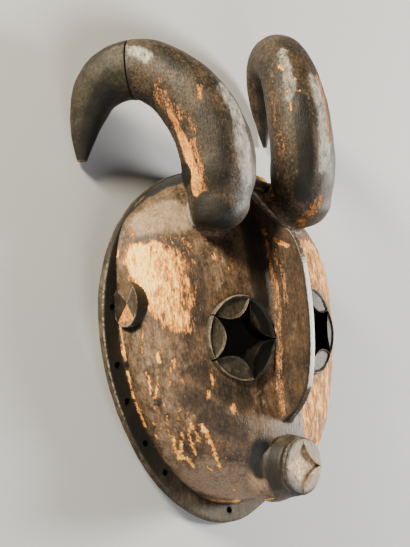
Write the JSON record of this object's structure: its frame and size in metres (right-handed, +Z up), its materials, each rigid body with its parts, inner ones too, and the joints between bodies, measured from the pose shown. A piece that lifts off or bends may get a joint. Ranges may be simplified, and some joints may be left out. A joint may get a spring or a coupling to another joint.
{
  "type": "karikpo mask",
  "caption": "Hollow carved wooden antelope mask with curled horns, a nose blade, petalled eyes, a stub mouth and a flange pierced for ties, lying on its back.",
  "frame": {"origin": "centre of the whole mask's box, at the level that the mask lies on", "axes": "+Y from the chin towards the horns, +Z up, out of the face, +X towards the mask's own left"},
  "size_m": [0.2544, 0.4082, 0.1199],
  "materials": {
    "stained_wood": "black-brown stain worn to tan and cream wood, satin",
    "dark_wood": "dark grey-brown stain, smoother, satin"
  },
  "bodies": {
    "root": {"mask": "stained_wood", "right_horn_tip": "dark_wood"}
  },
  "joints": []
}
